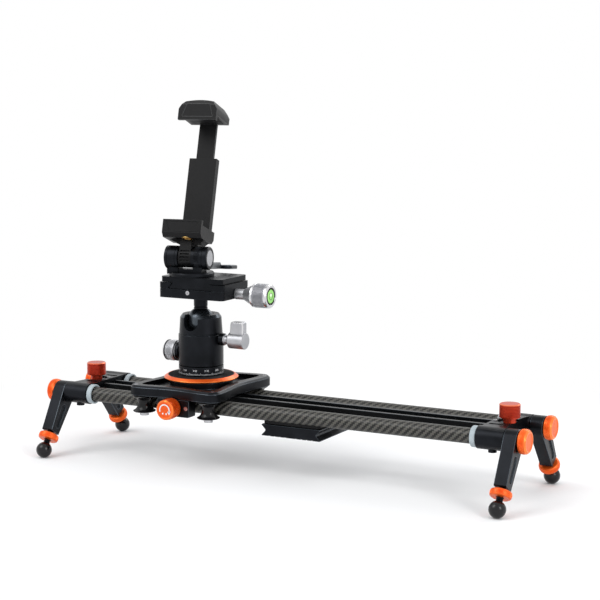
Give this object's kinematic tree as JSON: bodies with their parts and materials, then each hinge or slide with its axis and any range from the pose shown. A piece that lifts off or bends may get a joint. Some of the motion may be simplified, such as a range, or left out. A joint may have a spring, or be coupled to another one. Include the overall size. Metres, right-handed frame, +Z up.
{
  "type": "camera slider",
  "caption": "Camera slider on folding legs with carbon rails, a roller carriage with a brake, a ball head with quick release clamp and a tilting phone holder.",
  "frame": {"origin": "on the ground, in the middle between the four ball feet", "axes": "+X along the rails towards the far end of the carriage's travel, +Y to the rear, away from the brake knob, +Z up"},
  "size_m": [0.3944, 0.1186, 0.2725],
  "materials": {
    "black_anodised": "satin black anodised aluminium",
    "black_plastic": "satin moulded black nylon",
    "carbon_tube": "satin twill carbon fibre",
    "orange_anodised": "bright orange anodised aluminium",
    "red_anodised": "deep orange red anodised aluminium",
    "silver_aluminium": "satin clear anodised aluminium",
    "steel": "bright zinc plated steel",
    "rubber": "matt black rubber",
    "pale_nylon": "pale grey nylon",
    "brass": "turned brass",
    "green_vial": "clear acrylic over green spirit"
  },
  "bodies": {
    "frame": {"tube_front": "carbon_tube", "tube_rear": "carbon_tube", "centre_bar": "black_anodised", "tripod_plate": "black_anodised", "tripod_pad": "rubber", "end_bracket_left": "black_anodised", "end_bracket_right": "black_anodised", "bumper_ring_front_left": "pale_nylon", "bumper_ring_rear_left": "pale_nylon", "bumper_ring_front_right": "pale_nylon", "bumper_ring_rear_right": "pale_nylon"},
    "leg_front_left": {"leg_front_left": "black_anodised"},
    "leg_knob_front_left": {"leg_knob_front_left": "orange_anodised"},
    "foot_front_left": {"foot_front_left": "rubber"},
    "lock_ring_front_left": {"lock_ring_front_left": "orange_anodised"},
    "leg_rear_left": {"leg_rear_left": "black_anodised"},
    "leg_knob_rear_left": {"leg_knob_rear_left": "orange_anodised"},
    "foot_rear_left": {"foot_rear_left": "rubber"},
    "lock_ring_rear_left": {"lock_ring_rear_left": "orange_anodised"},
    "leg_front_right": {"leg_front_right": "black_anodised"},
    "leg_knob_front_right": {"leg_knob_front_right": "orange_anodised"},
    "foot_front_right": {"foot_front_right": "rubber"},
    "lock_ring_front_right": {"lock_ring_front_right": "orange_anodised"},
    "leg_rear_right": {"leg_rear_right": "black_anodised"},
    "leg_knob_rear_right": {"leg_knob_rear_right": "orange_anodised"},
    "foot_rear_right": {"foot_rear_right": "rubber"},
    "lock_ring_rear_right": {"lock_ring_rear_right": "orange_anodised"},
    "top_knob_left": {"top_knob_left": "red_anodised"},
    "top_knob_right": {"top_knob_right": "red_anodised"},
    "carriage": {"carriage_plate": "black_anodised", "mounting_disc": "orange_anodised", "mounting_pad": "rubber", "brake_block": "black_anodised", "brake_shoe": "rubber", "pan_base": "black_anodised", "roller_bolt_front_left": "steel", "roller_bolt_rear_left": "steel", "roller_bolt_front_right": "steel", "roller_bolt_rear_right": "steel"},
    "roller_front_left": {"roller_front_left": "black_plastic"},
    "roller_rear_left": {"roller_rear_left": "black_plastic"},
    "roller_front_right": {"roller_front_right": "black_plastic"},
    "roller_rear_right": {"roller_rear_right": "black_plastic"},
    "brake_knob": {"brake_knob": "orange_anodised"},
    "head": {"head_body": "black_anodised"},
    "pan_knob": {"pan_knob": "silver_aluminium"},
    "lock_knob": {"lock_knob": "silver_aluminium"},
    "ball": {"head_ball": "black_anodised"},
    "stem": {"head_stem": "black_anodised", "clamp_body": "black_anodised", "release_plate": "black_anodised", "hinge_base": "black_anodised", "hinge_pin": "steel"},
    "clamp_jaw": {"clamp_jaw": "black_anodised"},
    "clamp_knob": {"clamp_knob": "silver_aluminium", "bubble_level": "green_vial"},
    "hinge_lever": {"hinge_lever": "black_anodised"},
    "holder": {"lower_jaw": "black_plastic", "thread_insert": "brass"},
    "upper_jaw": {"upper_jaw": "black_plastic"}
  },
  "joints": [
    {"name": "carriage_slide", "type": "slide", "parent": "frame", "child": "carriage", "axis": [1, 0, 0], "range_m": [-0.0408, 0.1938]},
    {"name": "leg_swing_front_left", "type": "hinge", "parent": "frame", "child": "leg_front_left", "pos_m": [-0.18575, -0.0254, 0.04724], "axis": [-1, 0, 0], "range_deg": [-34, 56]},
    {"name": "leg_knob_turn_front_left", "type": "hinge", "parent": "frame", "child": "leg_knob_front_left", "pos_m": [-0.18575, -0.0254, 0.04724], "axis": [-1, 0, 0], "range_deg": [0, 360]},
    {"name": "foot_screw_front_left", "type": "slide", "parent": "leg_front_left", "child": "foot_front_left", "axis": [0, -0.5606, -0.8281], "range_m": [-0.002, 0.008]},
    {"name": "lock_ring_turn_front_left", "type": "hinge", "parent": "leg_front_left", "child": "lock_ring_front_left", "pos_m": [-0.18575, -0.04726, 0.01494], "axis": [0, -0.5606, -0.8281], "range_deg": [0, 180]},
    {"name": "roller_spin_front_left", "type": "hinge", "parent": "carriage", "child": "roller_front_left", "pos_m": [-0.1045, -0.0361, 0.04724], "axis": [0, 0, 1], "continuous": true},
    {"name": "leg_swing_rear_left", "type": "hinge", "parent": "frame", "child": "leg_rear_left", "pos_m": [-0.18575, 0.0254, 0.04724], "axis": [1, 0, 0], "range_deg": [-34, 56]},
    {"name": "leg_knob_turn_rear_left", "type": "hinge", "parent": "frame", "child": "leg_knob_rear_left", "pos_m": [-0.18575, 0.0254, 0.04724], "axis": [-1, 0, 0], "range_deg": [0, 360]},
    {"name": "foot_screw_rear_left", "type": "slide", "parent": "leg_rear_left", "child": "foot_rear_left", "axis": [0, 0.5606, -0.8281], "range_m": [-0.002, 0.008]},
    {"name": "lock_ring_turn_rear_left", "type": "hinge", "parent": "leg_rear_left", "child": "lock_ring_rear_left", "pos_m": [-0.18575, 0.04726, 0.01494], "axis": [0, 0.5606, -0.8281], "range_deg": [0, 180]},
    {"name": "roller_spin_rear_left", "type": "hinge", "parent": "carriage", "child": "roller_rear_left", "pos_m": [-0.1045, 0.0361, 0.04724], "axis": [0, 0, 1], "continuous": true},
    {"name": "leg_swing_front_right", "type": "hinge", "parent": "frame", "child": "leg_front_right", "pos_m": [0.18575, -0.0254, 0.04724], "axis": [-1, 0, 0], "range_deg": [-34, 56]},
    {"name": "leg_knob_turn_front_right", "type": "hinge", "parent": "frame", "child": "leg_knob_front_right", "pos_m": [0.18575, -0.0254, 0.04724], "axis": [1, 0, 0], "range_deg": [0, 360]},
    {"name": "foot_screw_front_right", "type": "slide", "parent": "leg_front_right", "child": "foot_front_right", "axis": [0, -0.5606, -0.8281], "range_m": [-0.002, 0.008]},
    {"name": "lock_ring_turn_front_right", "type": "hinge", "parent": "leg_front_right", "child": "lock_ring_front_right", "pos_m": [0.18575, -0.04726, 0.01494], "axis": [0, -0.5606, -0.8281], "range_deg": [0, 180]},
    {"name": "roller_spin_front_right", "type": "hinge", "parent": "carriage", "child": "roller_front_right", "pos_m": [-0.0485, -0.0361, 0.04724], "axis": [0, 0, 1], "continuous": true},
    {"name": "leg_swing_rear_right", "type": "hinge", "parent": "frame", "child": "leg_rear_right", "pos_m": [0.18575, 0.0254, 0.04724], "axis": [1, 0, 0], "range_deg": [-34, 56]},
    {"name": "leg_knob_turn_rear_right", "type": "hinge", "parent": "frame", "child": "leg_knob_rear_right", "pos_m": [0.18575, 0.0254, 0.04724], "axis": [1, 0, 0], "range_deg": [0, 360]},
    {"name": "foot_screw_rear_right", "type": "slide", "parent": "leg_rear_right", "child": "foot_rear_right", "axis": [0, 0.5606, -0.8281], "range_m": [-0.002, 0.008]},
    {"name": "lock_ring_turn_rear_right", "type": "hinge", "parent": "leg_rear_right", "child": "lock_ring_rear_right", "pos_m": [0.18575, 0.04726, 0.01494], "axis": [0, 0.5606, -0.8281], "range_deg": [0, 180]},
    {"name": "roller_spin_rear_right", "type": "hinge", "parent": "carriage", "child": "roller_rear_right", "pos_m": [-0.0485, 0.0361, 0.04724], "axis": [0, 0, 1], "continuous": true},
    {"name": "top_knob_turn_left", "type": "hinge", "parent": "frame", "child": "top_knob_left", "pos_m": [-0.1731, 0, 0.05464], "axis": [0, 0, 1], "range_deg": [0, 360]},
    {"name": "top_knob_turn_right", "type": "hinge", "parent": "frame", "child": "top_knob_right", "pos_m": [0.1731, 0, 0.05464], "axis": [0, 0, 1], "range_deg": [0, 360]},
    {"name": "brake_turn", "type": "hinge", "parent": "carriage", "child": "brake_knob", "pos_m": [-0.0765, -0.0401, 0.04724], "axis": [0, -1, 0], "range_deg": [0, 180]},
    {"name": "head_pan", "type": "hinge", "parent": "carriage", "child": "head", "pos_m": [-0.0765, 0, 0.07384], "axis": [0, 0, 1], "continuous": true},
    {"name": "pan_knob_turn", "type": "hinge", "parent": "head", "child": "pan_knob", "pos_m": [-0.0935, 0, 0.08244], "axis": [-1, 0, 0], "range_deg": [0, 180]},
    {"name": "lock_knob_turn", "type": "hinge", "parent": "head", "child": "lock_knob", "pos_m": [-0.0595, 0, 0.09404], "axis": [1, 0, 0], "range_deg": [0, 180]},
    {"name": "ball_tilt", "type": "hinge", "parent": "head", "child": "ball", "pos_m": [-0.0765, 0, 0.10704], "axis": [1, 0, 0], "range_deg": [-25, 90]},
    {"name": "stem_twist", "type": "hinge", "parent": "ball", "child": "stem", "pos_m": [-0.0765, 0, 0.10704], "axis": [0, 0, 1], "range_deg": [-90, 90]},
    {"name": "clamp_jaw_slide", "type": "slide", "parent": "stem", "child": "clamp_jaw", "axis": [1, 0, 0], "range_m": [0, 0.0033]},
    {"name": "clamp_knob_turn", "type": "hinge", "parent": "clamp_jaw", "child": "clamp_knob", "pos_m": [-0.0455, 0, 0.12928], "axis": [1, 0, 0], "range_deg": [0, 715]},
    {"name": "holder_tilt", "type": "hinge", "parent": "stem", "child": "holder", "pos_m": [-0.07981, -0.00994, 0.15573], "axis": [0.9848, 0.1736, 0], "range_deg": [-60, 90]},
    {"name": "lever_turn", "type": "hinge", "parent": "stem", "child": "hinge_lever", "pos_m": [-0.07981, -0.00994, 0.15573], "axis": [0.9848, 0.1736, 0], "range_deg": [0, 100]},
    {"name": "upper_jaw_slide", "type": "slide", "parent": "holder", "child": "upper_jaw", "axis": [-0.0537, 0.3043, 0.9511], "range_m": [-0.024, 0.01]}
  ],
  "couplings": [
    {"joint": "roller_spin_front_left", "follows": "carriage_slide", "rad_per_m": 204.08},
    {"joint": "roller_spin_rear_left", "follows": "carriage_slide", "rad_per_m": -204.08},
    {"joint": "roller_spin_front_right", "follows": "carriage_slide", "rad_per_m": 204.08},
    {"joint": "roller_spin_rear_right", "follows": "carriage_slide", "rad_per_m": -204.08},
    {"joint": "clamp_jaw_slide", "follows": "clamp_knob_turn", "m_per_rad": 0.00023873}
  ]
}
